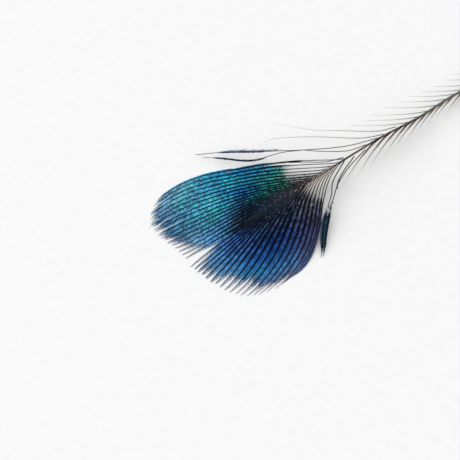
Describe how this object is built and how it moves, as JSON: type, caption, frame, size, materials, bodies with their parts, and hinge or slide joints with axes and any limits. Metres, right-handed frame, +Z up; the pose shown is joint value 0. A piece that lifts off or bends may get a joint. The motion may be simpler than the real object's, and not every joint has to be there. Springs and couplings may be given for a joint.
{
  "type": "peacock crest feather",
  "caption": "Loose iridescent crest feather lying flat: a spread blue-green fan of narrow barbs on a slender arched shaft with downy barbs along it and a bare quill end.",
  "frame": {"origin": "middle of the feather's outline, on the surface that it lies on", "axes": "+X from the fan to the quill, +Y across the fan, +Z up from the surface"},
  "size_m": [0.0548, 0.0218, 0.0026],
  "materials": {
    "feather": "iridescent blue-green keratin barbs with near-black stalks, satin"
  },
  "bodies": {
    "root": {"feather": "feather"}
  },
  "joints": []
}
